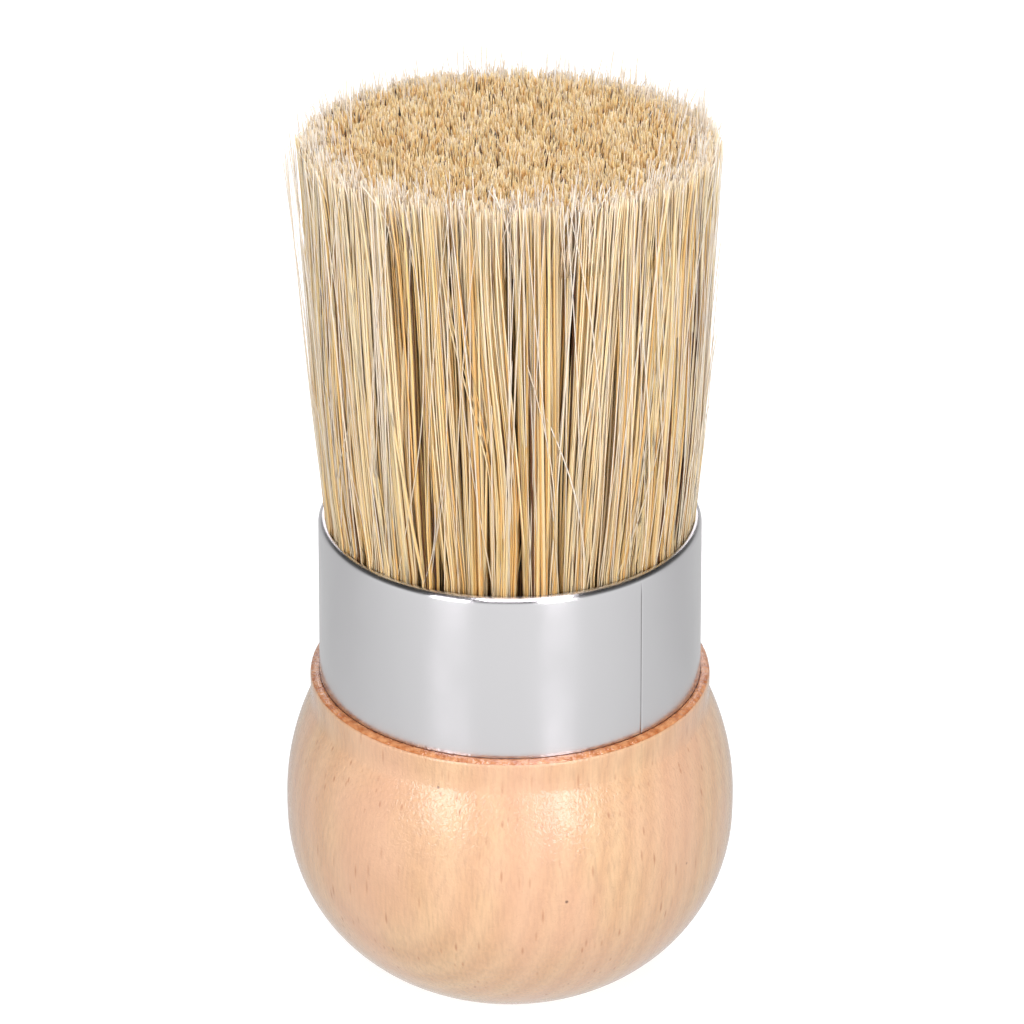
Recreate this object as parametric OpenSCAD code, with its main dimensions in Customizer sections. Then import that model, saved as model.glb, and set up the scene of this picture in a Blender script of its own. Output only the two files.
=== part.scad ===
// Round brush that stands on its ball-shaped wooden handle, bristles up.
// A seamed metal ferrule with a curled lip joins the handle to a flat-cut pack
// of natural bristle, whose butts are set in resin inside the ferrule.
// The centre of the flat foot is the origin, and +Z runs up the brush's axis.

/* [Handle] */
// Diameter of the ball at its widest
ball_d = 60.4; // [59:0.1:62]
// Diameter of the flat foot that the brush stands on
foot_d = 18.6; // [15:0.2:20]
// Radius of the ball's curve below its widest place
low_curve_r = 24; // [23:0.2:25]
// Radius of the ball's curve above its widest place
high_curve_r = 34; // [33:0.2:36]
// Height of the top of the straight belly between the two curves
belly_top = 25.5; // [25:0.1:26]
// Height of the ledge that faces the ferrule's lower edge
ledge_z = 44.9; // [44:0.1:46]
// Diameter of the ledge
ledge_d = 53.2; // [52.8:0.1:53.6]
// Radius that rounds the ledge's outer edge
ledge_edge_r = 0.6; // [0.3:0.1:0.8]
// Height of the tenon that stands up inside the ferrule
tenon_h = 8; // [6:0.5:9]

/* [Ferrule] */
// Outer diameter just under the lip
ferrule_d = 50; // [49.8:0.1:50.2]
// How much wider the ferrule is at its lower edge
ferrule_flare = 0.7; // [0.4:0.1:1]
// Height from the lower edge to the top of the lip
ferrule_h = 22.4; // [21:0.2:24]
// Thickness of the sheet metal
sheet_t = 0.5; // [0.3:0.1:0.6]
// Outer radius of the curl that turns the top edge inwards
lip_r = 0.9; // [0.7:0.1:1]
// Where the upright seam lies, counted from the front towards the right
seam_turn = 41.5; // [0:0.5:359]
// Width of the groove along the seam
seam_w = 0.14; // [0.1:0.02:0.3]
// Depth of the groove along the seam
seam_depth = 0.15; // [0.1:0.01:0.25]

/* [Bristle pack] */
// Mean length of bristle that stands out of the ferrule
bristle_out = 51.5; // [45:0.5:56]
// Diameter over the bristles at the cut top
pack_top_d = 51.1; // [50.6:0.1:52]
// Thickness of one bristle rod, which stands for a small bundle of hair
rod_d = 0.8; // [0.6:0.05:0.8]
// Number of rods round the outside of the pack
rod_count = 168; // [120:6:168]
// Number of bristle tips across the cut top
tip_count = 420; // [200:20:420]
// Height of a bristle tip above the dense middle of the pack
tip_h = 1.8; // [1:0.1:2.5]
// How far a rod's or tip's end may stand above or below the mean
cut_spread = 0.7; // [0:0.1:0.8]

/* [Glue and resin] */
// Thickness of the glue line between the ledge and the ferrule
glue_t = 0.2; // [0.1:0.05:0.3]
// Gap for glue between the tenon and the ferrule, at the tenon's top
glue_gap = 0.2; // [0.1:0.05:0.3]
// Height of resin under the bristles' butts
resin_floor = 3; // [2:0.5:4]
// How deep the butts stand in the resin
butt_depth = 5; // [3:0.5:6]

/* [Hidden] */
$fn = 128;
small_fn = 16;
clearance = 0.05;
seed = 7;
front = -90;

ball_r = ball_d / 2;
ledge_r = ledge_d / 2;
low_cx = ball_r - low_curve_r;
low_cz = sqrt(pow(low_curve_r, 2) - pow(foot_d / 2 - low_cx, 2));
high_cx = ball_r - high_curve_r;
tenon_top = ledge_z + tenon_h;
ledge_low = ledge_z - ledge_edge_r;

ferrule_z = ledge_z + glue_t;
ferrule_top = ferrule_z + ferrule_h;
lip_z = ferrule_top - lip_r;
lip_out = ferrule_d / 2;
lip_in = lip_out - lip_r;
base_out = lip_out + ferrule_flare / 2;
// Radius of the ferrule's inner wall at height z
function bore_r(z) =
    base_out - sheet_t - ferrule_flare / 2 * (z - ferrule_z) / (lip_z - ferrule_z);
tenon_r = bore_r(tenon_top) - glue_gap;

butt_z = tenon_top + resin_floor;
resin_top = butt_z + butt_depth;
pack_top = ferrule_top + bristle_out;
// Radius of a rod's middle at the lip and at the cut top, and so at any height
rod_lip_r = lip_in - clearance - rod_d / 2;
rod_top_r = (pack_top_d - rod_d) / 2;
function rod_r(z) =
    rod_lip_r + (rod_top_r - rod_lip_r) * (z - ferrule_top) / bristle_out;
// Radius of the dense middle of the pack
function core_r(z) = rod_r(z) - rod_d / 2 - clearance;
core_top = pack_top - tip_h;
rod_lean = atan((rod_top_r - rod_lip_r) / bristle_out);

// A bristle's colour: most are cream, some straw and a few brown
CREAM = 0;
STRAW = 1;
BROWN = 2;
function kind(x) = x < 0.56 ? CREAM : x < 0.88 ? STRAW : BROWN;
rod_kinds = [for (x = rands(0, 1, rod_count, seed)) kind(x)];
rod_ends = rands(-cut_spread, cut_spread, rod_count, seed + 1);
tip_kinds = [for (x = rands(0, 1, tip_count, seed + 2)) kind(x)];
tip_ends = rands(-cut_spread, cut_spread, tip_count, seed + 3);
// Tips are spread evenly over the round top by turning each one by the golden angle
golden_turn = 180 * (3 - sqrt(5));
tip_d = rod_d * 1.4;
tip_reach = core_r(core_top) - tip_d / 2 - clearance;

// Half of the handle's section, from the axis outwards
module handle_section() {
    intersection() {
        translate([low_cx, low_cz]) circle(r = low_curve_r);
        square([ball_r, low_cz]);
    }
    translate([0, low_cz]) square([ball_r, belly_top - low_cz]);
    intersection() {
        translate([high_cx, belly_top]) circle(r = high_curve_r);
        translate([0, belly_top]) square([ball_r, ledge_low - belly_top]);
    }
    // The middle of the ball, which runs up into the tenon
    square([low_cx, ledge_z]);
    translate([0, low_cz]) square([tenon_r, tenon_top - low_cz]);
    // The ledge's own short upright wall, with its top edge rounded
    translate([0, low_cz]) square([ledge_r, ledge_low - low_cz]);
    translate([0, low_cz]) square([ledge_r - ledge_edge_r, ledge_z - low_cz]);
    translate([ledge_r - ledge_edge_r, ledge_low]) circle(r = ledge_edge_r);
}

module handle() {
    color("burlywood") rotate_extrude() handle_section();
}

// The band's wall, and a quarter turn of the curl that closes over it
module ferrule_section() {
    polygon([
        [base_out - sheet_t, ferrule_z], [base_out, ferrule_z],
        [lip_out, lip_z], [lip_out - sheet_t, lip_z]
    ]);
    intersection() {
        translate([lip_in, lip_z]) difference() {
            circle(r = lip_r);
            circle(r = lip_r - sheet_t);
        }
        translate([lip_in, lip_z]) square([lip_r, lip_r]);
    }
}

// The seam is a fine groove, where the ends of the rolled strip meet
module ferrule() {
    color("silver") difference() {
        rotate_extrude() ferrule_section();
        rotate([0, 0, front + seam_turn])
            translate([lip_out - seam_depth, -seam_w / 2, ferrule_z - 1])
                cube([seam_depth + ferrule_flare, seam_w, lip_z - ferrule_z + 1]);
    }
}

// A film on the ledge under the ferrule's edge, and a sleeve round the tenon
module joint_glue() {
    color("saddlebrown") rotate_extrude() polygon([
        [tenon_r, ledge_z], [base_out - clearance, ledge_z],
        [base_out - clearance, ferrule_z], [bore_r(ferrule_z), ferrule_z],
        [bore_r(tenon_top), tenon_top], [tenon_r, tenon_top]
    ]);
}

// A shallow cup, cast round the butts of the bristles
module resin_set() {
    butt_r = rod_r(butt_z) + rod_d / 2 + clearance;
    mouth_r = rod_r(resin_top) + rod_d / 2 + clearance;
    color("darkgoldenrod") rotate_extrude() polygon([
        [0, tenon_top], [bore_r(tenon_top), tenon_top],
        [bore_r(resin_top), resin_top], [mouth_r, resin_top],
        [butt_r, butt_z], [0, butt_z]
    ]);
}

module bristle_core() {
    color("tan") rotate_extrude() polygon([
        [0, butt_z], [core_r(butt_z), butt_z],
        [core_r(core_top), core_top], [0, core_top]
    ]);
}

// The separate bristles of one colour: rods round the outside of the pack, and
// tips that stand on its dense middle and taper a little
module bristles(colour) {
    for (i = [0 : rod_count - 1])
        if (rod_kinds[i] == colour)
            rotate([0, 0, i * 360 / rod_count])
                translate([rod_r(butt_z), 0, butt_z + clearance])
                    rotate([0, rod_lean, 0])
                        cylinder(d = rod_d, h = pack_top + rod_ends[i] - butt_z, $fn = small_fn);
    for (i = [0 : tip_count - 1])
        if (tip_kinds[i] == colour)
            rotate([0, 0, i * golden_turn])
                translate([tip_reach * sqrt((i + 0.5) / tip_count), 0, core_top])
                    cylinder(d1 = tip_d, d2 = tip_d / 2, h = tip_h + tip_ends[i], $fn = small_fn);
}

module cream_bristles() {
    color("cornsilk") bristles(CREAM);
}

module straw_bristles() {
    color("goldenrod") bristles(STRAW);
}

module brown_bristles() {
    color("sienna") bristles(BROWN);
}

handle();
ferrule();
joint_glue();
resin_set();
bristle_core();
cream_bristles();
straw_bristles();
brown_bristles();
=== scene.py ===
"""A round bristle brush that stands on its ball-shaped beech handle."""

import math

import bpy
import numpy as np
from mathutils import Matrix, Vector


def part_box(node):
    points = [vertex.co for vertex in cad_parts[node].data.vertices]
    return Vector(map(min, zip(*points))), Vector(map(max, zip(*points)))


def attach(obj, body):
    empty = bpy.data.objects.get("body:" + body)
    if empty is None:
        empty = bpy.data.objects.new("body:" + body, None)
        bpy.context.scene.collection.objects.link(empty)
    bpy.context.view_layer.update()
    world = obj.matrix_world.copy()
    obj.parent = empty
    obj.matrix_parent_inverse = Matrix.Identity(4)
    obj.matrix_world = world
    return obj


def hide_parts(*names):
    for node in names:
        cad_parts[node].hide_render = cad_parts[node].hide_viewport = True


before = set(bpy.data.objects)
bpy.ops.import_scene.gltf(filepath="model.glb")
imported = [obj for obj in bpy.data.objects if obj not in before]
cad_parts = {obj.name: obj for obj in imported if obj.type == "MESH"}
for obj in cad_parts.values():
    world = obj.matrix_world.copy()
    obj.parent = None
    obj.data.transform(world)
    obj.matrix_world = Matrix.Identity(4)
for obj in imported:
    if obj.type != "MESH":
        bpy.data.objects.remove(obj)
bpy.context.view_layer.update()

bl_info = {
    "name": "Round Bristle Brush",
    "version": (1, 0, 0),
    "blender": (4, 5, 0),
    "location": "View3D > Sidebar > Brush",
    "description": "Builds a round brush with a ball handle, a steel ferrule and flat-cut bristles",
    "category": "Add Mesh",
}

MM = 0.001
TURN = 2 * math.pi
CREAM, STRAW, BROWN = range(3)


def height(node, end):
    """Height of a CAD node's lower (0) or upper (1) end."""
    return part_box(node)[end][2]


def radius(node):
    """Largest radius of a round CAD node."""
    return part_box(node)[1][0]


LEDGE_Z = height("joint_glue", 0)
TENON_TOP = height("handle", 1)
# No node's box gives this one, because the ball is wider
TENON_R = 24.3 * MM
FERRULE_Z = height("ferrule", 0)
LIP_Z = height("ferrule", 1)
BUTT_Z = height("bristle_core", 0)
# The cut is a little above the solid middle of the pack
PACK_TOP = height("bristle_core", 1) + 1.8 * MM


def linear(hex_colour):
    """An sRGB hex colour as linear red, green and blue."""
    channels = [int(hex_colour[i : i + 2], 16) / 255 for i in (1, 3, 5)]
    return tuple(c / 12.92 if c <= 0.04045 else ((c + 0.055) / 1.055) ** 2.4 for c in channels)


# ---------------------------------------------------------------- settings


def length(name, description, default):
    """A property that holds a size in metres."""
    return bpy.props.FloatProperty(
        name=name, description=description, default=default, min=0, precision=5, unit="LENGTH"
    )


def share(name, description, default):
    """A property that holds a number from 0 to 1."""
    return bpy.props.FloatProperty(
        name=name, description=description, default=default, min=0, max=1, subtype="FACTOR"
    )


def count(name, description, default):
    """A property that holds a whole number."""
    return bpy.props.IntProperty(name=name, description=description, default=default, min=1)


def colour(name, description, hex_colour):
    """A property that holds a colour."""
    return bpy.props.FloatVectorProperty(
        name=name, description=description, default=linear(hex_colour), min=0, max=1, subtype="COLOR"
    )


class BrushHandleSettings(bpy.types.PropertyGroup):
    """Sizes and colours of the turned handle."""

    ball_r: length("Ball radius", "Radius of the ball at its widest", radius("handle"))
    foot_r: length("Foot radius", "Radius of the flat foot", 9.3 * MM)
    low_curve: length("Lower curve", "Radius of the curve below the belly", 24 * MM)
    high_curve: length("Upper curve", "Radius of the curve above the belly", 34 * MM)
    belly_top: length("Belly top", "Height where the upper curve starts", 25.5 * MM)
    ledge_r: length("Ledge radius", "Radius of the ledge under the ferrule", 26.6 * MM)
    ledge_edge: length("Ledge edge", "Radius that rounds the ledge's edge", 0.6 * MM)
    varnish_t: length("Pooled varnish", "Thickness of the varnish on the ledge", 0.16 * MM)
    light_wood: colour("Light wood", "Beech between the growth rings", "#CFA97F")
    dark_wood: colour("Dark wood", "Beech in the late wood of the rings", "#BF9167")
    fleck: colour("Flecks", "The short ray flecks that mark beech", "#A56F47")
    amber: colour("Amber", "Pooled varnish over end grain", "#A86336")
    gloss: share("Varnish roughness", "Roughness of the varnish", 0.1)


class BrushFerruleSettings(bpy.types.PropertyGroup):
    """Sizes and colours of the steel band and the glue under it."""

    sheet_t: length("Sheet", "Thickness of the sheet metal", 0.5 * MM)
    lip_r: length("Lip", "Outer radius of the curl at the top edge", 0.9 * MM)
    top_r: length("Top radius", "Outer radius just under the lip", 25 * MM)
    seam_w: length("Seam width", "Width of the groove along the seam", 0.17 * MM)
    seam_depth: length("Seam depth", "Depth of the groove along the seam", 0.07 * MM)
    seam_turn: bpy.props.FloatProperty(
        name="Seam place",
        description="Angle of the seam from the front, towards the right",
        default=math.radians(41.5),
        subtype="ANGLE",
    )
    steel: colour("Steel", "Polished steel", "#D6D5D7")
    roughness: share("Steel roughness", "Roughness of the polished steel", 0.2)
    dirt: colour("Dirt", "Dark polishing paste left in the seam", "#5A5654")
    # Near black: partly the glue's own colour, partly painted shade of the gap under the band
    glue: colour("Glue", "Dried glue in the joint", "#34160A")


class BrushBristleSettings(bpy.types.PropertyGroup):
    """Numbers, sizes and colours of the bristles."""

    skin_count: count("Skin bristles", "Full-length bristles in the outer part of the pack", 6200)
    tip_count: count("Tips", "Bristle ends across the cut top", 17500)
    rim_count: count("Rim ends", "Bristle ends that stand above the cut near its rim", 1500)
    stray_count: count("Strays", "Bristles that stand out of the pack", 260)
    thickness: length("Thickness", "Mean thickness of a bristle at its butt", 0.33 * MM)
    skin_depth: length("Skin depth", "How deep the full-length bristles go", 2.7 * MM)
    tip_length: length("Tip length", "Modelled length of a bristle end", 8 * MM)
    cut_spread: length("Cut spread", "How unevenly the tips are cut", 0.35 * MM)
    seed: count("Seed", "Seed of everything random in the pack", 11)
    white_pale: colour("Palest white", "Palest of the thin white bristles", "#FBECD4")
    white_deep: colour("Deep white", "Deepest of the thin white bristles", "#E8D3B8")
    cream_pale: colour("Palest cream", "Palest hog bristle", "#F8E1BE")
    cream_deep: colour("Deep cream", "Deepest cream bristle", "#EBC483")
    straw_pale: colour("Pale straw", "Palest straw bristle", "#ECC68A")
    straw_deep: colour("Deep straw", "Deepest straw bristle", "#CD9E5C")
    brown_pale: colour("Light brown", "Palest brown bristle", "#7C4B26")
    brown_deep: colour("Near black", "Darkest bristle", "#1F1008")


class BrushStageSettings(bpy.types.PropertyGroup):
    """The floor, the lights and the camera."""

    floor_size: length("Floor", "Side of the square floor", 12.0)
    camera_side: length("Camera side", "How far the camera is to the right of the axis", 0.26 * MM)
    camera_back: length("Camera back", "Horizontal distance from the axis to the camera", 0.4)
    camera_up: length("Camera height", "Height of the camera above the floor", 0.2625)
    lens: bpy.props.FloatProperty(
        name="Lens", description="Focal length", default=120, min=1, unit="CAMERA"
    )
    pitch: bpy.props.FloatProperty(
        name="Pitch",
        description="How far the camera looks down",
        default=math.radians(26),
        subtype="ANGLE",
    )


# ---------------------------------------------------------------- materials


def add(tree, kind, inputs=(), stops=(), **settings):
    """Adds a node, sets its inputs by name or place to values or links, gives a colour ramp its
    (place, colour or grey) stops, and returns it. A colour is red, green and blue."""
    new = tree.nodes.new(kind)
    for key, value in settings.items():
        setattr(new, key, value)
    for key, value in dict(inputs).items():
        socket = new.inputs[key]
        if isinstance(value, bpy.types.NodeSocket):
            tree.links.new(value, socket)
        else:
            socket.default_value = (*value, 1) if socket.type == "RGBA" else value
    for number, (place, shade) in enumerate(stops):
        elements = new.color_ramp.elements
        element = elements[number] if number < len(elements) else elements.new(place)
        element.position = place
        element.color = (*shade, 1) if isinstance(shade, tuple) else (shade, shade, shade, 1)
    return new


def start_material(name):
    """A material with only its output, and its node tree."""
    made = bpy.data.materials.new(name)
    made.use_nodes = True
    made.node_tree.nodes.clear()
    return made, made.node_tree


def finish_material(tree, shader):
    add(tree, "ShaderNodeOutputMaterial", {"Surface": shader.outputs[0]})


def in_millimetres(tree, scale=(1, 1, 1), location=(0, 0, 0), rotation=(0, 0, 0)):
    """The piece's own coordinates in millimetres, stretched, moved and turned for a pattern."""
    place = add(tree, "ShaderNodeTexCoord")
    sized = add(
        tree,
        "ShaderNodeVectorMath",
        {0: place.outputs["Object"], "Scale": 1 / MM},
        operation="SCALE",
    )
    return add(
        tree,
        "ShaderNodeMapping",
        {"Vector": sized.outputs[0], "Scale": scale, "Location": location, "Rotation": rotation},
    ).outputs[0]


def varnished_beech(look):
    """Turned and varnished beech: pink-tan wood, faint growth rings, short brown ray flecks, a few
    dark pits, and a thick gloss varnish whose surface is a little lumpy."""
    made, tree = start_material("varnished_beech")
    light, dark = tuple(look.light_wood), tuple(look.dark_wood)
    # Rings of a trunk whose centre is well outside the handle. A wave of scale 1 turns 20 a unit
    ring_spacing = 3.4
    rings = add(
        tree,
        "ShaderNodeTexWave",
        {
            "Vector": in_millimetres(tree, location=(46, 70, 0), rotation=(0.12, -0.16, 0)),
            "Scale": TURN / (20 * ring_spacing),
            "Distortion": 2.2,
            "Detail": 2.0,
            "Detail Scale": 0.6,
        },
        wave_type="RINGS",
        rings_direction="Z",
    )
    late = add(
        tree, "ShaderNodeValToRGB", {0: rings.outputs["Fac"]}, stops=[(0.0, 0.0), (1.0, 0.5)]
    ).outputs[0]
    ringed = add(tree, "ShaderNodeMix", {0: late, 6: light, 7: dark}, data_type="RGBA").outputs[2]
    # Fibres are 0.4 mm wide and run up the handle
    fibres = add(
        tree,
        "ShaderNodeTexNoise",
        {"Vector": in_millimetres(tree, scale=(1, 1, 0.14)), "Scale": 2.6, "Detail": 4.0},
    )
    shade = add(
        tree,
        "ShaderNodeValToRGB",
        {0: fibres.outputs["Fac"]},
        stops=[(0.3, 0.86), (0.55, 1.0), (0.75, 1.07)],
    ).outputs[0]
    fibred = add(
        tree, "ShaderNodeMix", {0: 1.0, 6: ringed, 7: shade}, data_type="RGBA", blend_type="MULTIPLY"
    ).outputs[2]
    # Cloudy patches, 12 mm wide, are pinker
    clouds = add(
        tree,
        "ShaderNodeTexNoise",
        {"Vector": in_millimetres(tree, scale=(1, 1, 0.5)), "Scale": 0.08, "Detail": 2.0},
    )
    pinker = add(
        tree, "ShaderNodeValToRGB", {0: clouds.outputs["Fac"]}, stops=[(0.4, 0.0), (0.65, 0.5)]
    ).outputs[0]
    clouded = add(
        tree, "ShaderNodeMix", {0: pinker, 6: fibred, 7: linear("#CFA083")}, data_type="RGBA"
    ).outputs[2]
    # Ray flecks, 0.3 mm wide and 1 to 2 mm long, in some of the cells only
    wavy = add(
        tree,
        "ShaderNodeTexVoronoi",
        {"Vector": in_millimetres(tree, scale=(1, 1, 0.16)), "Scale": 1.15},
    )
    dash = add(
        tree, "ShaderNodeValToRGB", {0: wavy.outputs["Distance"]}, stops=[(0.06, 1.0), (0.26, 0.0)]
    ).outputs[0]
    some = add(
        tree, "ShaderNodeValToRGB", {0: wavy.outputs["Color"]}, stops=[(0.4, 0.0), (0.75, 0.8)]
    ).outputs[0]
    dashes = add(tree, "ShaderNodeMath", {0: dash, 1: some}, operation="MULTIPLY").outputs[0]
    flecked = add(
        tree, "ShaderNodeMix", {0: dashes, 6: clouded, 7: tuple(look.fleck)}, data_type="RGBA"
    ).outputs[2]
    # Dark pits up to 0.5 mm wide, where the middle of a 6 mm cell is at the surface
    pits = add(
        tree, "ShaderNodeTexVoronoi", {"Vector": in_millimetres(tree, location=(3, 1, 2)), "Scale": 0.16}
    )
    pit = add(
        tree, "ShaderNodeValToRGB", {0: pits.outputs["Distance"]}, stops=[(0.02, 0.8), (0.045, 0.0)]
    ).outputs[0]
    pitted = add(
        tree, "ShaderNodeMix", {0: pit, 6: flecked, 7: linear("#4A2A16")}, data_type="RGBA"
    ).outputs[2]
    # The varnish's orange peel: lumps 0.4 mm wide, drawn out a little along the grain
    lumps = add(
        tree,
        "ShaderNodeTexNoise",
        {"Vector": in_millimetres(tree, scale=(1, 1, 0.7)), "Scale": 2.7, "Detail": 1.5, "Distortion": 0.6},
    )
    uneven = add(
        tree,
        "ShaderNodeBump",
        {"Height": lumps.outputs["Fac"], "Strength": 1.0, "Distance": 0.085 * MM},
    )
    grain = add(
        tree,
        "ShaderNodeBump",
        {"Height": dash, "Strength": 0.3, "Distance": 0.02 * MM, "Normal": uneven.outputs[0]},
        invert=True,
    )
    shader = add(
        tree,
        "ShaderNodeBsdfPrincipled",
        {
            "Base Color": pitted,
            "Roughness": 0.5,
            "Normal": grain.outputs[0],
            "Coat Weight": 1.0,
            "Coat Roughness": look.gloss,
            "Coat Normal": uneven.outputs[0],
        },
    )
    finish_material(tree, shader)
    return made


def pooled_varnish(look):
    """Varnish that ran together on the ledge and dried amber, thick and wrinkled."""
    made, tree = start_material("pooled_varnish")
    patches = add(
        tree, "ShaderNodeTexNoise", {"Vector": in_millimetres(tree), "Scale": 0.8, "Detail": 3.0}
    )
    tint = add(
        tree,
        "ShaderNodeValToRGB",
        {0: patches.outputs["Fac"]},
        stops=[(0.35, tuple(look.amber)), (0.68, linear("#CF9464"))],
    ).outputs[0]
    wrinkles = add(
        tree, "ShaderNodeTexNoise", {"Vector": in_millimetres(tree), "Scale": 2.6, "Detail": 2.0}
    )
    uneven = add(
        tree,
        "ShaderNodeBump",
        {"Height": wrinkles.outputs["Fac"], "Strength": 1.0, "Distance": 0.14 * MM},
    )
    shader = add(
        tree,
        "ShaderNodeBsdfPrincipled",
        {
            "Base Color": tint,
            "Roughness": 0.22,
            "Normal": uneven.outputs[0],
            "Coat Weight": 1.0,
            "Coat Roughness": 0.06,
            "Coat Normal": uneven.outputs[0],
        },
    )
    finish_material(tree, shader)
    return made


def polished_steel(look):
    """Plated sheet steel, polished round and round: the polish draws each light out into a soft
    upright band, and leaves marks too fine to see, so they are drawn 0.15 mm apart."""
    made, tree = start_material("polished_steel")
    up = add(tree, "ShaderNodeSeparateXYZ", {0: in_millimetres(tree)}).outputs["Z"]
    marks = add(
        tree, "ShaderNodeTexNoise", {"W": up, "Scale": 7.0, "Detail": 2.0}, noise_dimensions="1D"
    )
    smears = add(
        tree,
        "ShaderNodeTexNoise",
        {"Vector": in_millimetres(tree, scale=(1, 1, 0.6)), "Scale": 0.16, "Detail": 3.0},
    )
    dull = add(
        tree,
        "ShaderNodeMapRange",
        {
            "Value": smears.outputs["Fac"],
            "From Min": 0.3,
            "From Max": 0.7,
            "To Min": look.roughness - 0.03,
            "To Max": look.roughness + 0.04,
        },
    )
    uneven = add(
        tree,
        "ShaderNodeBump",
        {"Height": marks.outputs["Fac"], "Strength": 0.12, "Distance": 0.01 * MM},
    )
    along = add(tree, "ShaderNodeTangent", direction_type="RADIAL", axis="Z")
    dirt = add(tree, "ShaderNodeAttribute", attribute_name="dirt").outputs["Fac"]
    soiled = add(
        tree,
        "ShaderNodeMix",
        {0: dirt, 6: tuple(look.steel), 7: tuple(look.dirt)},
        data_type="RGBA",
    ).outputs[2]
    shader = add(
        tree,
        "ShaderNodeBsdfPrincipled",
        {
            "Base Color": soiled,
            "Metallic": 1.0,
            "Roughness": dull.outputs[0],
            "Anisotropic": 0.9,
            "Anisotropic Rotation": 0.25,
            "Normal": uneven.outputs[0],
            "Tangent": along.outputs[0],
        },
    )
    finish_material(tree, shader)
    return made


def glue_and_painted_gap_shade(look):
    """Wood glue that was squeezed out and dried shiny; its near-black colour is partly its own and partly
    painted shade of the gap between the band and the ledge.
    """
    made, tree = start_material("glue_and_painted_gap_shade")
    patches = add(
        tree, "ShaderNodeTexNoise", {"Vector": in_millimetres(tree), "Scale": 1.2, "Detail": 2.0}
    )
    tint = add(
        tree,
        "ShaderNodeValToRGB",
        {0: patches.outputs["Fac"]},
        stops=[(0.35, tuple(look.glue)), (0.7, linear("#6B3416"))],
    ).outputs[0]
    shader = add(tree, "ShaderNodeBsdfPrincipled", {"Base Color": tint, "Roughness": 0.35})
    finish_material(tree, shader)
    return made


def cast_epoxy():
    """Amber epoxy resin, cast round the bristles and full of small bubbles."""
    made, tree = start_material("cast_epoxy")
    bubbles = add(tree, "ShaderNodeTexVoronoi", {"Vector": in_millimetres(tree), "Scale": 0.9})
    tint = add(
        tree,
        "ShaderNodeValToRGB",
        {0: bubbles.outputs["Distance"]},
        stops=[(0.08, linear("#D9A860")), (0.3, linear("#9C6B28"))],
    ).outputs[0]
    shader = add(
        tree, "ShaderNodeBsdfPrincipled", {"Base Color": tint, "Roughness": 0.15, "Coat Weight": 0.5}
    )
    finish_material(tree, shader)
    return made


def hog_bristle(name, pale, deep):
    """Washed hog bristle: tough, slightly shiny hair. Each bristle has its own tone and its split end is
    paler.
    It is darker towards its butt, partly by its own colour and partly by painted shade, and painted lighter
    up high."""
    made, tree = start_material(name)
    tone = add(tree, "ShaderNodeAttribute", attribute_name="tone").outputs["Fac"]
    along = add(tree, "ShaderNodeAttribute", attribute_name="along").outputs["Fac"]
    hair = add(tree, "ShaderNodeMix", {0: tone, 6: pale, 7: deep}, data_type="RGBA").outputs[2]
    # Painted shade and light: the ramp darkens each bristle towards its butt, partly for its own darker
    # root and partly for shade deep in the pack, and leaves the top brightest as if lit from above
    root = add(
        tree,
        "ShaderNodeValToRGB",
        {0: along},
        stops=[(0.0, linear("#C9B590")), (0.12, linear("#EFE5D3")), (0.7, (1.0, 1.0, 1.0))],
    ).outputs[0]
    shaded = add(
        tree, "ShaderNodeMix", {0: 1.0, 6: hair, 7: root}, data_type="RGBA", blend_type="MULTIPLY"
    ).outputs[2]
    split = add(tree, "ShaderNodeValToRGB", {0: along}, stops=[(0.85, 0.0), (1.0, 0.3)]).outputs[0]
    ended = add(
        tree, "ShaderNodeMix", {0: split, 6: shaded, 7: linear("#FAEBCB")}, data_type="RGBA"
    ).outputs[2]
    shader = add(
        tree,
        "ShaderNodeBsdfPrincipled",
        {
            "Base Color": ended,
            "Roughness": 0.42,
            "IOR": 1.55,
            "Specular IOR Level": 0.28,
            "Subsurface Weight": 0.8,
            "Subsurface Radius": (1.0, 0.92, 0.82),
            "Subsurface Scale": 0.4 * MM,
        },
    )
    finish_material(tree, shader)
    return made


def painted_hair_shade():
    """Painted shade for the depth between the bristles: dark, streaked upright like hair in shadow, and
    painted lighter higher up, where light falls in between the cut ends."""
    made, tree = start_material("painted_hair_shade")
    streaks = add(
        tree,
        "ShaderNodeTexNoise",
        {"Vector": in_millimetres(tree, scale=(1, 1, 0.03)), "Scale": 4.0, "Detail": 2.0},
    )
    shadow = add(
        tree,
        "ShaderNodeValToRGB",
        {0: streaks.outputs["Fac"]},
        stops=[(0.38, linear("#1C0F08")), (0.5, linear("#7A532D")), (0.7, linear("#B08750"))],
    ).outputs[0]
    up = add(tree, "ShaderNodeSeparateXYZ", {0: in_millimetres(tree)}).outputs["Z"]
    # Painted light: the core is lighter higher up, where light falls in between the cut ends
    painted_light_higher_up = add(
        tree,
        "ShaderNodeMapRange",
        {"Value": up, "From Min": 80.0, "From Max": 112.0, "To Min": 0.0, "To Max": 0.75},
    ).outputs[0]
    tint = add(
        tree, "ShaderNodeMix", {0: painted_light_higher_up, 6: shadow, 7: linear("#D0A86E")}, data_type="RGBA"
    ).outputs[2]
    shader = add(tree, "ShaderNodeBsdfPrincipled", {"Base Color": tint, "Roughness": 0.8})
    finish_material(tree, shader)
    return made


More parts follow.
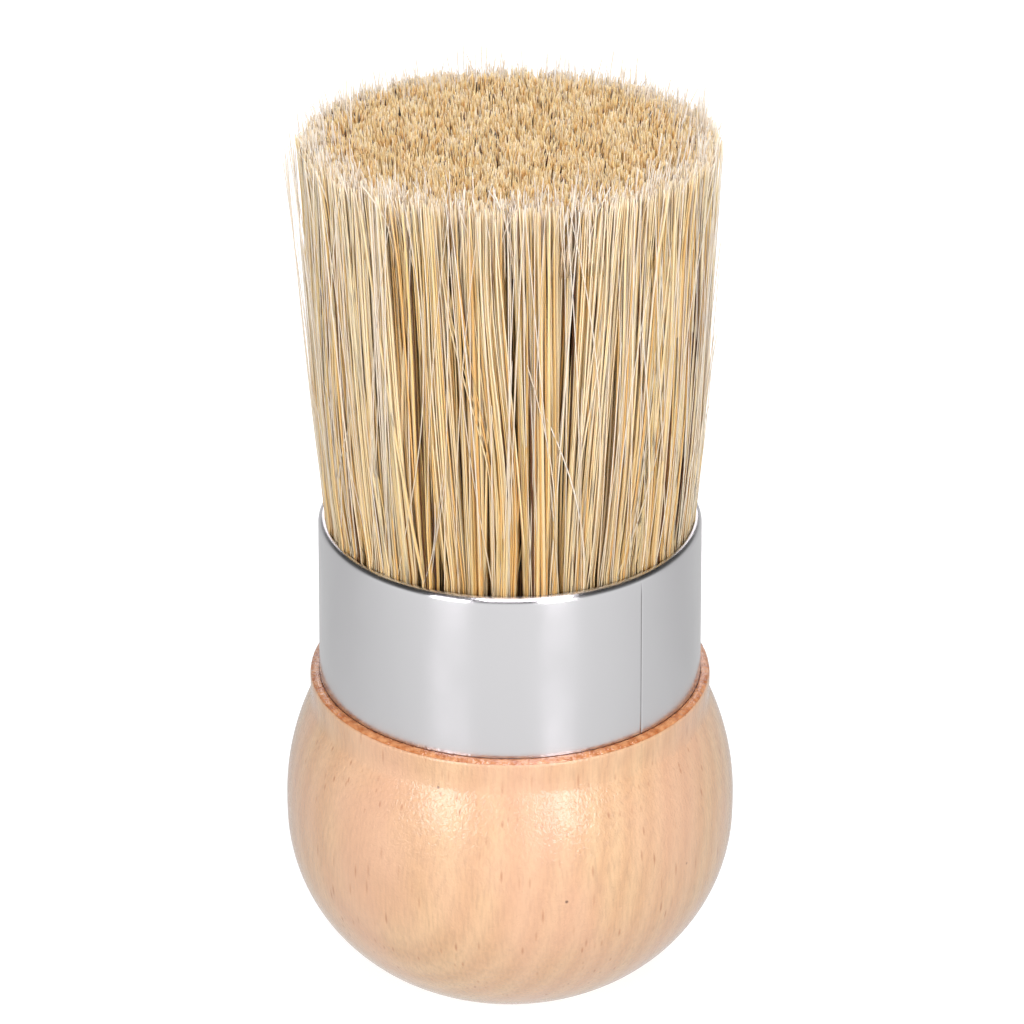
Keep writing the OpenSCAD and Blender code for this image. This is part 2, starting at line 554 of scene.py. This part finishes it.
def white_floor():
    """A light table: white acrylic that glows evenly, so that the brush casts hardly any shadow."""
    made, tree = start_material("white_floor")
    seen = add(
        tree,
        "ShaderNodeBsdfPrincipled",
        {
            "Base Color": (0.5, 0.5, 0.5),
            "Roughness": 0.9,
            "Specular IOR Level": 0.0,
            "Emission Color": (1, 1, 1),
            "Emission Strength": 0.77,
        },
    )
    # The light that it sends up fades from the front of the table to its back
    depth = add(tree, "ShaderNodeSeparateXYZ", {0: in_millimetres(tree)}).outputs["Y"]
    faded = add(
        tree,
        "ShaderNodeMapRange",
        {"Value": depth, "From Min": -160.0, "From Max": 60.0, "To Min": 1.06, "To Max": 0.68},
    ).outputs[0]
    sent = add(tree, "ShaderNodeEmission", {"Strength": faded})
    eye = add(tree, "ShaderNodeLightPath").outputs["Is Camera Ray"]
    finish_material(
        tree, add(tree, "ShaderNodeMixShader", {0: eye, 1: sent.outputs[0], 2: seen.outputs[0]})
    )
    return made


# ---------------------------------------------------------------- modelling


def pick(piece=None):
    """Deselects everything, then selects one piece and makes it active."""
    bpy.ops.object.select_all(action="DESELECT")
    if piece is not None:
        piece.select_set(True)
        bpy.context.view_layer.objects.active = piece


def arc(centre, r, first, last, steps):
    """Points (radius, height) along an arc, with angles in degrees counted from level."""
    angles = np.radians(np.linspace(first, last, steps + 1))
    return [(centre[0] + r * math.cos(a), centre[1] + r * math.sin(a)) for a in angles]


def turned(name, outline, steps, closed=False):
    """Draws an outline point by point and spins it round Z, as on a lathe."""
    pick()
    bpy.ops.mesh.primitive_plane_add(size=MM)
    piece = bpy.context.object
    piece.name = piece.data.name = name
    bpy.ops.object.mode_set(mode="EDIT")
    bpy.ops.mesh.select_all(action="SELECT")
    bpy.ops.mesh.merge(type="CENTER")
    here = (0, 0)
    for step, point in enumerate(outline + outline[:1] if closed else outline):
        move = (point[0] - here[0], 0, point[1] - here[1])
        if step:
            bpy.ops.mesh.extrude_region_move(TRANSFORM_OT_translate={"value": move})
        else:
            bpy.ops.transform.translate(value=move)
        here = point
    bpy.ops.mesh.select_all(action="SELECT")
    bpy.ops.mesh.spin(steps=steps, angle=TURN, center=(0, 0, 0), axis=(0, 0, 1))
    bpy.ops.mesh.select_all(action="SELECT")
    bpy.ops.mesh.remove_doubles(threshold=0.002 * MM)
    bpy.ops.mesh.normals_make_consistent(inside=False)
    bpy.ops.object.mode_set(mode="OBJECT")
    bpy.ops.object.shade_smooth_by_angle(angle=math.radians(40))
    return piece


def finish_piece(piece, material, slot, *nodes):
    """Gives a piece its material and its body, and hides the CAD nodes it stands for. Its slot is not used.
    """
    piece.data.materials.clear()
    piece.data.materials.append(material)
    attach(piece, "root")
    if nodes:
        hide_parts(*nodes)


def roughen(piece, size, strength):
    """Pushes a piece's surface in and out by a smooth random pattern, and applies it."""
    pattern = bpy.data.textures.new(piece.name, "CLOUDS")
    pattern.noise_scale = size
    pattern.noise_depth = 1
    pick(piece)
    made = piece.modifiers.new("rough", "DISPLACE")
    made.texture = pattern
    made.texture_coords = "LOCAL"
    made.strength = strength
    made.mid_level = 0.5
    bpy.ops.object.modifier_apply(modifier=made.name)


# ---------------------------------------------------------------- bristles


def model_bristle(rings, end, sides=3):
    """One bristle of length 1 and radius 1, drawn up from its butt ring by ring. It thins
    slowly up to end, and over what is left it closes to a blunt tip. Returns its mesh."""
    pick()
    bpy.ops.mesh.primitive_circle_add(vertices=sides, radius=1, fill_type="NGON")
    piece = bpy.context.object
    bpy.ops.object.mode_set(mode="EDIT")
    bpy.ops.mesh.select_all(action="SELECT")
    low, thick = 0.0, 1.0
    for ring in range(1, rings + 1):
        up, thin = end * ring / (rings - 1), 1 - 0.35 * ring / rings
        if ring == rings:
            up, thin = 1.0, 0.3
        bpy.ops.mesh.extrude_region_move(TRANSFORM_OT_translate={"value": (0, 0, up - low)})
        bpy.ops.transform.resize(value=(thin / thick, thin / thick, 1), center_override=(0, 0, up))
        low, thick = up, thin
    bpy.ops.mesh.select_all(action="SELECT")
    bpy.ops.mesh.normals_make_consistent(inside=False)
    bpy.ops.object.mode_set(mode="OBJECT")
    mesh = piece.data
    bpy.data.objects.remove(piece)
    return mesh


def plant(name, pattern, paths, thickness, tones, reach=1.0):
    """Copies one bristle along every path, bends each copy to it, and joins them in one piece.
    paths is an array of bristles by points by XYZ, thickness and tones have a value a bristle,
    and reach is how far towards its pale split end each bristle's colour goes."""
    total, points = paths.shape[:2]
    shape = np.empty(len(pattern.vertices) * 3)
    pattern.vertices.foreach_get("co", shape)
    shape = shape.reshape(-1, 3)
    along = shape[:, 2]
    # Two directions square to each bristle, turned round it by its tone, which is random
    heading = paths[:, -1] - paths[:, 0]
    heading /= np.linalg.norm(heading, axis=1)[:, None]
    across = np.cross(heading, (0.0, 1.0, 0.0))
    across /= np.linalg.norm(across, axis=1)[:, None]
    other = np.cross(heading, across)
    turn = tones * 40
    first = across * np.cos(turn)[:, None] + other * np.sin(turn)[:, None]
    second = other * np.cos(turn)[:, None] - across * np.sin(turn)[:, None]
    # Every vertex's place on its bristle's path
    step = along * (points - 1)
    low = np.minimum(step.astype(int), points - 2)
    part = (step - low)[None, :, None]
    centre = paths[:, low] * (1 - part) + paths[:, low + 1] * part
    wide = (thickness / 2)[:, None, None]
    vertices = (
        centre
        + first[:, None] * shape[None, :, :1] * wide
        + second[:, None] * shape[None, :, 1:2] * wide
    )
    corners = np.array([v for p in pattern.polygons for v in p.vertices])
    starts = np.array([p.loop_start for p in pattern.polygons])
    order = np.arange(total)[:, None]
    mesh = bpy.data.meshes.new(name)
    mesh.vertices.add(total * len(shape))
    mesh.loops.add(total * len(corners))
    mesh.polygons.add(total * len(starts))
    mesh.vertices.foreach_set("co", vertices.ravel())
    mesh.loops.foreach_set("vertex_index", (corners + order * len(shape)).ravel())
    mesh.polygons.foreach_set("loop_start", (starts + order * len(corners)).ravel())
    mesh.update(calc_edges=True)
    for key, values in (
        ("tone", np.repeat(tones, len(shape))), ("along", np.tile(along * reach, total))
    ):
        mesh.attributes.new(key, "FLOAT", "POINT").data.foreach_set("value", values)
    mesh.shade_smooth()
    piece = bpy.data.objects.new(name, mesh)
    bpy.context.scene.collection.objects.link(piece)
    return piece


def pack_radius(above):
    """Outer radius of the pack at a height above the lip: squeezed there, then full."""
    squeezed, swell, within = 23.95, 1.65, 15 * MM
    return (squeezed + swell * (1 - np.exp(-np.maximum(above, 0) / within))) * MM


def smooth_field(rng, points, wave, waves=9):
    """A smooth random value from about -1 to 1 for points in a plane, with hills wave apart."""
    total = np.zeros(points.shape[:-1])
    for _ in range(waves):
        way = rng.uniform(0, TURN)
        pace = TURN / (wave * rng.uniform(0.7, 1.6))
        along = points[..., 0] * math.cos(way) + points[..., 1] * math.sin(way)
        total += np.sin(along * pace + rng.uniform(0, TURN))
    return total / math.sqrt(waves)


def locks_of(rng, angles, narrowest, widest):
    """Divides the pack's rim into locks of random width. Returns, for each bristle, its lock's
    number, its lock's middle, and where it lies in the lock, from -1 to 1."""
    widths = rng.uniform(narrowest, widest, int(TURN * pack_radius(0) / narrowest))
    edges = np.concatenate([[0], np.cumsum(widths)]) / pack_radius(0)
    edges = edges[: np.searchsorted(edges, TURN)]
    edges *= TURN / edges[-1]
    number = np.clip(np.searchsorted(edges, angles) - 1, 0, len(edges) - 2)
    middle = (edges[number] + edges[number + 1]) / 2
    half = (edges[number + 1] - edges[number]) / 2
    return number, middle, (angles - middle) / half


def skin_paths(rng, look, total, rings):
    """Paths of the full-length bristles in the outer part of the pack. They are gathered into
    locks that are pinched at the lip and open out above it."""
    angles = np.sort(rng.uniform(0, TURN, total))
    inner = 1 - look.skin_depth / pack_radius(0)
    depth = np.sqrt(rng.uniform(inner**2, 1, total))
    lock, middle, place = locks_of(rng, angles, 2.2 * MM, 6.5 * MM)
    wisp, wisp_middle, _ = locks_of(rng, angles, 0.6 * MM, 1.9 * MM)
    bottom = LIP_Z - 5 * MM
    spread = rng.normal(0, 1, total) * look.cut_spread
    short_share, shortest = 0.06, 5 * MM
    short = rng.random(total) < short_share
    spread -= short * rng.uniform(0, shortest, total)
    top = PACK_TOP + spread
    share_up = np.linspace(0, 1, rings + 1)
    z = bottom + (top - bottom)[:, None] * share_up
    above = z - LIP_Z
    rise = np.clip(above / (PACK_TOP - LIP_Z), 0, 1)
    # Pinching towards the lock's and the wisp's middle
    grip = rng.lognormal(0, 0.7, lock.max() + 1)[lock][:, None]
    at_lip = np.exp(-np.maximum(above, 0) / (9 * MM))
    pinch = np.minimum(grip * (0.03 * at_lip + 0.11 * (1 - rise)), 0.35)
    wisp_grip = rng.uniform(0.0, 0.3, wisp.max() + 1)[wisp][:, None] * (1 - 0.7 * rise)
    angle = angles[:, None] + (wisp_middle - angles)[:, None] * wisp_grip
    angle = middle[:, None] + (angle - middle[:, None]) * (1 - pinch)
    # The pack fans out in broad sweeps, and locks, wisps and single bristles lean and bow
    reach = pack_radius(0)
    rim = np.stack([np.cos(middle), np.sin(middle)], -1) * reach
    sweep = smooth_field(rng, rim, 30 * MM) * 2.2 * MM
    lock_lean = rng.normal(0, 0.85 * MM, lock.max() + 1)[lock]
    wisp_lean = rng.normal(0, 0.6 * MM, wisp.max() + 1)[wisp]
    unruly_share = 0.22
    unruly = rng.random(total) < unruly_share
    own_lean = rng.normal(0, 1, total) * np.where(unruly, 2.0 * MM, 0.4 * MM)
    lean = (sweep + lock_lean + wisp_lean + own_lean)[:, None] * rise
    bow = rng.normal(0, 1, total)[:, None] * np.where(unruly, 0.7 * MM, 0.14 * MM)[:, None]
    bow += rng.normal(0, 0.5 * MM, lock.max() + 1)[lock][:, None]
    waves = rng.uniform(0.6, 1.6, lock.max() + 1)[lock][:, None]
    phase = rng.uniform(0, TURN, lock.max() + 1)[lock][:, None]
    bowed = bow * (np.sin(rise * math.pi * waves + phase) - np.sin(phase))
    angle += (lean + bowed) / reach
    # Each lock is round in section, and stands a little further in or out
    r = depth[:, None] * pack_radius(above)
    stand = rng.normal(0, 0.14 * MM, lock.max() + 1)[lock][:, None]
    low_down = np.exp(-np.maximum(above, 0) / (30 * MM)) * (above > 0)
    r += (stand - 0.35 * MM * place[:, None] ** 2 * grip) * low_down
    r += rng.normal(0, 0.25 * MM, total)[:, None] * rise
    splay = np.abs(rng.normal(0, 0.45 * MM, total))[:, None]
    r += splay * np.clip((rise - 0.75) / 0.25, 0, 1) ** 2
    r = np.where(above <= 0.5 * MM, np.minimum(r, pack_radius(0)), r)
    paths = np.stack([r * np.cos(angle), r * np.sin(angle), z], -1)
    return paths, lock, depth


def tip_paths(rng, look, total, rings):
    """Paths of the bristle ends inside the skin. Ends draw together in small tufts."""
    reach = pack_radius(PACK_TOP - LIP_Z) - look.skin_depth * 0.8
    # The golden angle spreads them evenly, as in a sunflower
    turn = np.arange(total) * math.pi * (3 - math.sqrt(5))
    r = reach * np.sqrt((np.arange(total) + 0.5) / total)
    base = np.stack([r * np.cos(turn), r * np.sin(turn)], -1) + rng.normal(0, 0.12 * MM, (total, 2))
    tuft, patch = 1.5 * MM * 1.6, 9 * MM
    pull = np.stack([smooth_field(rng, base, tuft), smooth_field(rng, base, tuft)], -1)
    lean = np.stack([smooth_field(rng, base, patch), smooth_field(rng, base, patch)], -1)
    end = base * 1.01 + pull * 0.3 * MM + lean * 0.55 * MM + rng.normal(0, 0.32 * MM, (total, 2))
    top = PACK_TOP + smooth_field(rng, base, 5 * MM) * 0.22 * MM
    top += rng.normal(0, 1, total) * look.cut_spread
    share_up = np.linspace(0, 1, rings + 1)
    z = (top - look.tip_length)[:, None] + share_up * look.tip_length
    flat = base[:, None] + (end - base)[:, None] * (share_up**1.5)[None, :, None]
    return np.concatenate([flat, z[..., None]], -1), base


def stray_paths(rng, top, bottom, inwards, out, wander, rings):
    """Paths of bristles that leave the pack, from the heights of their ends, how far inside its
    surface they start, how far they lean out of it and how far they wander round it."""
    total = len(top)
    share_up = np.linspace(0, 1, rings + 1)[None, :]
    z = bottom + (top[:, None] - bottom) * share_up
    above = z - LIP_Z
    curl = rng.uniform(1.2, 3.5, total)[:, None]
    r = pack_radius(above) - inwards[:, None] + out[:, None] * share_up**curl
    cross = wander[:, None] * share_up ** rng.uniform(1, 2, total)[:, None]
    bow = (rng.normal(0, 0.3, total) * np.abs(wander))[:, None] * np.sin(share_up * math.pi)
    angle = rng.uniform(0, TURN, total)[:, None] + (cross + bow) / pack_radius(0)
    r = np.where(above <= 0.5 * MM, np.minimum(r, pack_radius(0) - 0.1 * MM), r)
    return np.stack([r * np.cos(angle), r * np.sin(angle), z], -1)


def sort_colours(rng, straw_share, brown_share):
    """Gives each bristle its colour, from how likely it is to be straw or brown."""
    pull = rng.random(len(straw_share))
    others = np.where(pull < brown_share + straw_share, STRAW, CREAM)
    return np.where(pull < brown_share, BROWN, others)


# ---------------------------------------------------------------- operators


class BrushOperator:
    """What the brush's operators share."""

    bl_options = {"REGISTER", "UNDO"}


class BRUSH_OT_stage(BrushOperator, bpy.types.Operator):
    """Lays the floor, hangs the lights and sets up the camera"""

    bl_idname = "brush.stage"
    bl_label = "Stage"

    def execute(self, context):
        look = context.scene.brush_stage
        pick()
        bpy.ops.mesh.primitive_plane_add(size=look.floor_size)
        floor = context.object
        floor.name = "floor"
        floor.data.materials.append(white_floor())
        self.set_world(context)
        aim = (0, 0, 0.06)
        self.hang("left_softbox", aim, turn=-34, rise=16, away=0.8, size=(0.28, 0.42), bright=6.4)
        self.hang("right_softbox", aim, turn=27, rise=16, away=0.8, size=(0.26, 0.42), bright=6.9)
        self.hang("front_overhead", aim, turn=14, rise=64, away=0.9, size=(0.6, 0.36), bright=9.8)
        self.hang("back_fill", aim, turn=180, rise=30, away=1.2, size=(1.0, 0.6), bright=2.0)
        camera = bpy.data.cameras.new("camera")
        camera.lens = look.lens
        camera.sensor_width = 36
        holder = bpy.data.objects.new("camera", camera)
        context.scene.collection.objects.link(holder)
        holder.location = (look.camera_side, -look.camera_back, look.camera_up)
        holder.rotation_euler = (math.pi / 2 - look.pitch, 0, 0)
        context.scene.camera = holder
        context.scene.view_settings.view_transform = "Standard"
        return {"FINISHED"}

    @staticmethod
    def hang(name, aim, turn, rise, away, size, bright):
        """Hangs a softbox that faces aim, at a turn from the front and a rise above level."""
        lamp = bpy.data.lights.new(name, "AREA")
        lamp.shape = "RECTANGLE"
        lamp.size, lamp.size_y = size
        lamp.energy = bright * math.pi * size[0] * size[1]
        lamp.color = linear("#FFFAFF")
        holder = bpy.data.objects.new(name, lamp)
        bpy.context.scene.collection.objects.link(holder)
        side, up = math.radians(turn), math.radians(rise)
        holder.location = (
            aim[0] + away * math.sin(side) * math.cos(up),
            aim[1] - away * math.cos(side) * math.cos(up),
            aim[2] + away * math.sin(up),
        )
        holder.rotation_euler = (math.pi / 2 - up, 0, side)

    @staticmethod
    def set_world(context):
        """A white room that is darker behind and overhead. The camera sees it all white."""
        world = bpy.data.worlds.new("studio")
        context.scene.world = world
        world.use_nodes = True
        tree = world.node_tree
        tree.nodes.clear()
        way = add(tree, "ShaderNodeTexCoord").outputs["Generated"]
        parts = add(tree, "ShaderNodeSeparateXYZ", {0: way})
        upper = add(
            tree,
            "ShaderNodeValToRGB",
            {0: parts.outputs["Z"]},
            stops=[(0.0, 0.6), (0.45, 0.34), (0.75, 0.12), (1.0, 0.1)],
        ).outputs[0]
        away = parts.outputs["Y"]
        front = add(
            tree,
            "ShaderNodeMapRange",
            {"Value": away, "From Min": -1.0, "From Max": 1.0, "To Min": 1.55, "To Max": 1.0},
        ).outputs[0]
        light = add(tree, "ShaderNodeMath", {0: upper, 1: front}, operation="MULTIPLY").outputs[0]
        # Dark cloth hangs over the table, and only polished things show it
        rays = add(tree, "ShaderNodeLightPath").outputs
        cloth = add(
            tree, "ShaderNodeValToRGB", {0: parts.outputs["Z"]}, stops=[(0.1, 0.0), (0.4, 0.75)]
        ).outputs[0]
        hidden = add(
            tree, "ShaderNodeMath", {0: cloth, 1: rays["Is Glossy Ray"]}, operation="MULTIPLY"
        ).outputs[0]
        dim = add(tree, "ShaderNodeMath", {0: 1.0, 1: hidden}, operation="SUBTRACT").outputs[0]
        hung = add(tree, "ShaderNodeMath", {0: light, 1: dim}, operation="MULTIPLY").outputs[0]
        room = add(tree, "ShaderNodeBackground", {"Color": (1, 1, 1), "Strength": hung})
        seen = add(tree, "ShaderNodeBackground", {"Color": (1, 1, 1), "Strength": 1.0})
        both = add(
            tree,
            "ShaderNodeMixShader",
            {0: rays["Is Camera Ray"], 1: room.outputs[0], 2: seen.outputs[0]},
        )
        add(tree, "ShaderNodeOutputWorld", {"Surface": both.outputs[0]})


class BRUSH_OT_handle(BrushOperator, bpy.types.Operator):
    """Turns the beech handle and pools varnish on its ledge"""

    bl_idname = "brush.handle"
    bl_label = "Handle"

    def execute(self, context):
        look = context.scene.brush_handle
        beech = varnished_beech(look)
        piece = turned("turned_handle", self.outline(look), steps=256)
        finish_piece(piece, beech, "beech", "handle")
        bead = turned("ledge_varnish", self.bead(look), steps=720, closed=True)
        roughen(bead, size=0.55 * MM, strength=0.14 * MM)
        finish_piece(bead, pooled_varnish(look), "beech")
        return {"FINISHED"}

    @staticmethod
    def outline(look):
        """Half the handle's section, from the middle of its foot up to the middle of its tenon."""
        low_x = look.ball_r - look.low_curve
        low_z = math.sqrt(look.low_curve**2 - (look.foot_r - low_x) ** 2)
        start = -math.degrees(math.asin(low_z / look.low_curve))
        high_x = look.ball_r - look.high_curve
        end = math.degrees(math.acos((look.ledge_r - high_x) / look.high_curve))
        neck_z = look.belly_top + look.high_curve * math.sin(math.radians(end))
        edge = (look.ledge_r - look.ledge_edge, LEDGE_Z - look.ledge_edge)
        return [
            (0, 0),
            (look.foot_r * 0.5, 0),
            (look.foot_r - 0.3 * MM, 0),
            *arc((low_x, low_z), look.low_curve, start, 0, 44),
            *arc((high_x, look.belly_top), look.high_curve, 0, end, 24),
            (look.ledge_r, (edge[1] + neck_z) / 2),
            *arc(edge, look.ledge_edge, 0, 90, 8),
            (TENON_R, LEDGE_Z),
            (TENON_R, TENON_TOP - 0.5 * MM),
            (TENON_R - 0.5 * MM, TENON_TOP),
            (0, TENON_TOP),
        ]

    @staticmethod
    def bead(look):
        """Section of the pooled varnish: a skin over the ledge and round its edge."""
        inner = radius("joint_glue") - 0.1 * MM
        edge = (look.ledge_r - look.ledge_edge, LEDGE_Z - look.ledge_edge)
        under = look.ledge_edge - 0.15 * MM
        return [
            *arc(edge, under, 90, 40, 4),
            *arc(edge, look.ledge_edge + look.varnish_t * 0.6, 44, 80, 6),
            (edge[0], LEDGE_Z + look.varnish_t),
            (inner + 0.25 * MM, LEDGE_Z + look.varnish_t * 0.8),
            (inner, LEDGE_Z + look.varnish_t * 0.4),
            (inner, LEDGE_Z - 0.15 * MM),
        ]


class BRUSH_OT_ferrule(BrushOperator, bpy.types.Operator):
    """Rolls the steel band with its curled lip and seam, and fills its joints"""

    bl_idname = "brush.ferrule"
    bl_label = "Ferrule"

    def execute(self, context):
        look = context.scene.brush_ferrule
        band = turned("steel_ferrule", self.outline(look), steps=256, closed=True)
        self.cut_seam(band, look)
        finish_piece(band, polished_steel(look), "ferrule_steel", "ferrule")
        glue = turned("glue_line", self.glue_outline(), steps=360, closed=True)
        roughen(glue, size=0.9 * MM, strength=0.06 * MM)
        finish_piece(glue, glue_and_painted_gap_shade(look), "glue", "joint_glue")
        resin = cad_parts["resin_set"]
        resin.data.materials.clear()
        resin.data.materials.append(cast_epoxy())
        return {"FINISHED"}

    @staticmethod
    def outline(look):
        """Section of the band: up its outside, over the curl, and down its inside."""
        base_r = radius("ferrule")
        curl = (look.top_r - look.lip_r, LIP_Z - look.lip_r)
        wall = [
            (base_r + (look.top_r - base_r) * i / 12, FERRULE_Z + (curl[1] - FERRULE_Z) * i / 12)
            for i in range(12)
        ]
        inside = [(x - look.sheet_t, z) for x, z in reversed(wall[::4])]
        return [
            *wall,
            *arc(curl, look.lip_r, 0, 90, 12),
            *arc(curl, look.lip_r - look.sheet_t, 90, 0, 6),
            *inside,
        ]

    @staticmethod
    def cut_seam(band, look):
        """Cuts the band along the seam and on both sides of it, and presses the middle cut in."""
        way = look.seam_turn - math.pi / 2
        out = np.array([math.cos(way), math.sin(way), 0])
        side = np.array([-math.sin(way), math.cos(way), 0])
        pick(band)
        bpy.ops.object.mode_set(mode="EDIT")
        for widths in (-2.0, -0.5, 0.0, 0.5, 2.0):
            cut = side * look.seam_w * widths
            bpy.ops.mesh.select_all(action="SELECT")
            bpy.ops.mesh.bisect(plane_co=cut, plane_no=side, threshold=0.001 * MM)
        bpy.ops.object.mode_set(mode="OBJECT")
        wall_r = look.top_r - look.sheet_t * 0.5
        dirt = band.data.attributes.new("dirt", "FLOAT", "POINT").data
        for vertex in band.data.vertices:
            place = np.array(vertex.co)
            off = place @ side
            # The groove ends below the curl at the top edge
            below = place[2] < LIP_Z - 2 * look.lip_r
            if place @ out <= 0 or math.hypot(*place[:2]) <= wall_r or not below:
                continue
            if abs(off) < look.seam_w * 0.1:
                vertex.co = place - out * look.seam_depth
                dirt[vertex.index].value = 1.0
            elif 0 < off < look.seam_w * 3:
                # One end of the rolled strip stands a hair proud of the other
                vertex.co = place + out * look.seam_depth * 0.15

    @staticmethod
    def glue_outline():
        """Section of the glue: a film under the band's edge, bulging a little out of the joint."""
        outer = radius("joint_glue")
        low, high = LEDGE_Z - 0.02 * MM, FERRULE_Z + 0.02 * MM
        bulge = arc((outer, (low + high) / 2), (high - low) / 2, -90, 90, 6)
        return [(TENON_R, low), *bulge, (TENON_R, high)]


class BRUSH_OT_bristles(BrushOperator, bpy.types.Operator):
    """Plants the bristles"""

    bl_idname = "brush.bristles"
    bl_label = "Bristles"

    def execute(self, context):
        look = context.scene.brush_bristles
        rng = np.random.default_rng(look.seed)
        self.materials = [
            hog_bristle("cream_hog_bristle", tuple(look.cream_pale), tuple(look.cream_deep)),
            hog_bristle("straw_hog_bristle", tuple(look.straw_pale), tuple(look.straw_deep)),
            hog_bristle("brown_hog_bristle", tuple(look.brown_pale), tuple(look.brown_deep)),
        ]
        self.white = hog_bristle("white_hog_bristle", tuple(look.white_pale), tuple(look.white_deep))
        self.plant_skin(rng, look)
        self.plant_tips(rng, look)
        self.plant_strays(rng, look)
        self.plant_rim(rng, look)
        # A dark solid core, painted as the shade between the bristles
        core = turned("painted_shade_core", self.core_outline(look), steps=96)
        finish_piece(core, painted_hair_shade(), "bristle_straw", "bristle_core")
        return {"FINISHED"}

    def plant_by_colour(self, rng, ending, pattern, paths, colours, tones, thickness, reach=1.0):
        """Plants a piece for each colour of bristle."""
        for number, word in ((CREAM, "cream"), (STRAW, "straw"), (BROWN, "brown")):
            these = colours == number
            wide = thickness * rng.lognormal(0, 0.2, these.sum())
            piece = plant(f"{word}_{ending}", pattern, paths[these], wide, tones[these], reach)
            finish_piece(piece, self.materials[number], f"bristle_{word}", f"{word}_bristles")

    def plant_skin(self, rng, look):
        rings = 10
        paths, lock, depth = skin_paths(rng, look, look.skin_count, rings)
        golden = rng.normal(0, 0.08, lock.max() + 1)[lock]
        # Bristles deeper in the pack are more often straw or brown and deeper in tone: painted shade, which
        # makes the gaps between the bristles look warm and dark
        deep = (1 - depth) / (1 - depth.min())
        straw = np.clip(0.32 + golden + 0.3 * deep, 0.05, 0.9)
        colours = sort_colours(rng, straw, 0.06 + 0.08 * deep)
        tones = np.clip(0.5 + golden + 0.3 * deep + rng.normal(0, 0.2, len(lock)), 0, 1)
        pattern = model_bristle(rings, 0.975)
        self.plant_by_colour(rng, "hairs", pattern, paths, colours, tones, look.thickness)

    def plant_tips(self, rng, look):
        rings = 3
        paths, base = tip_paths(rng, look, look.tip_count, rings)
        patches = smooth_field(rng, base, 6 * MM) * 0.12
        colours = sort_colours(rng, np.clip(0.5 + patches, 0.1, 0.9), np.full(len(base), 0.05))
        # The ends have deeper tones than the skin: painted shade, for the darker, more golden cut top seen
        # end-on
        tones = np.clip(0.8 + patches + rng.normal(0, 0.2, len(base)), 0, 1)
        wide = look.thickness * 0.95
        pattern = model_bristle(rings, 0.88)
        self.plant_by_colour(rng, "tips", pattern, paths, colours, tones, wide, reach=0.9)

    def plant_strays(self, rng, look):
        """Plants full-length bristles that lean out or lie across the pack. Some are broken."""
        rings = 12
        total = look.stray_count
        top = PACK_TOP + np.abs(rng.normal(0, 1.2 * MM, total)) - 0.3 * MM
        top -= (rng.random(total) < 0.35) * rng.uniform(4 * MM, 40 * MM, total)
        inwards = np.full(total, 0.15 * MM)
        out = np.abs(rng.normal(0, 1.7 * MM, total))
        wander = rng.normal(0, 2.8 * MM, total)
        paths = stray_paths(rng, top, LIP_Z - 3 * MM, inwards, out, wander, rings)
        self.plant_white("stray_hairs", rng, look, paths, model_bristle(rings, 0.96))

    def plant_rim(self, rng, look):
        """Plants the bristle ends that stand above the cut near its rim."""
        rings = 5
        total = look.rim_count
        top = PACK_TOP + np.abs(rng.normal(0, 1.6 * MM, total)) - 0.4 * MM
        inwards = np.abs(rng.normal(0, 2.2 * MM, total)) + 0.2 * MM
        out = np.abs(rng.normal(0, 0.9 * MM, total))
        wander = rng.normal(0, 1.1 * MM, total)
        paths = stray_paths(rng, top, PACK_TOP - 9 * MM, inwards, out, wander, rings)
        self.plant_white("rim_hairs", rng, look, paths, model_bristle(rings, 0.94))

    def plant_white(self, name, rng, look, paths, pattern):
        """Plants thin white bristles along paths."""
        total = len(paths)
        tones = np.clip(rng.normal(0.5, 0.3, total), 0, 1)
        wide = look.thickness * 0.6 * rng.lognormal(0, 0.2, total)
        finish_piece(plant(name, pattern, paths, wide, tones), self.white, "bristle_cream")

    @staticmethod
    def core_outline(look):
        """Section of the painted shade core, a dark solid in the depth: it stays behind the skin and under
        the tips.
        """
        bevel = 1 * MM
        base_r = pack_radius(0) - look.skin_depth
        top_r = pack_radius(PACK_TOP - LIP_Z) - look.skin_depth
        top = PACK_TOP - look.tip_length + bevel
        side = [(base_r, BUTT_Z), (base_r, LIP_Z), (top_r, top - bevel), (top_r - bevel, top)]
        return [(0, BUTT_Z), *side, (0, top)]


class BRUSH_PT_panel(bpy.types.Panel):
    """Lists the brush's pieces and settings"""

    bl_label = "Brush"
    bl_idname = "BRUSH_PT_panel"
    bl_space_type = "VIEW_3D"
    bl_region_type = "UI"
    bl_category = "Brush"

    def draw(self, context):
        for operator, group in STEPS:
            box = self.layout.box()
            box.operator(operator.bl_idname)
            settings = getattr(context.scene, group)
            for key in settings.__annotations__:
                box.prop(settings, key)


SETTINGS = (
    ("brush_stage", BrushStageSettings),
    ("brush_handle", BrushHandleSettings),
    ("brush_ferrule", BrushFerruleSettings),
    ("brush_bristles", BrushBristleSettings),
)
STEPS = (
    (BRUSH_OT_stage, "brush_stage"),
    (BRUSH_OT_handle, "brush_handle"),
    (BRUSH_OT_ferrule, "brush_ferrule"),
    (BRUSH_OT_bristles, "brush_bristles"),
)


def register():
    for group, settings in SETTINGS:
        bpy.utils.register_class(settings)
        setattr(bpy.types.Scene, group, bpy.props.PointerProperty(type=settings))
    for operator, _ in STEPS:
        bpy.utils.register_class(operator)
    bpy.utils.register_class(BRUSH_PT_panel)


def unregister():
    bpy.utils.unregister_class(BRUSH_PT_panel)
    for operator, _ in reversed(STEPS):
        bpy.utils.unregister_class(operator)
    for group, settings in reversed(SETTINGS):
        delattr(bpy.types.Scene, group)
        bpy.utils.unregister_class(settings)


def main():
    register()
    bpy.ops.brush.stage()
    bpy.ops.brush.handle()
    bpy.ops.brush.ferrule()
    bpy.ops.brush.bristles()


if __name__ == "__main__":
    main()
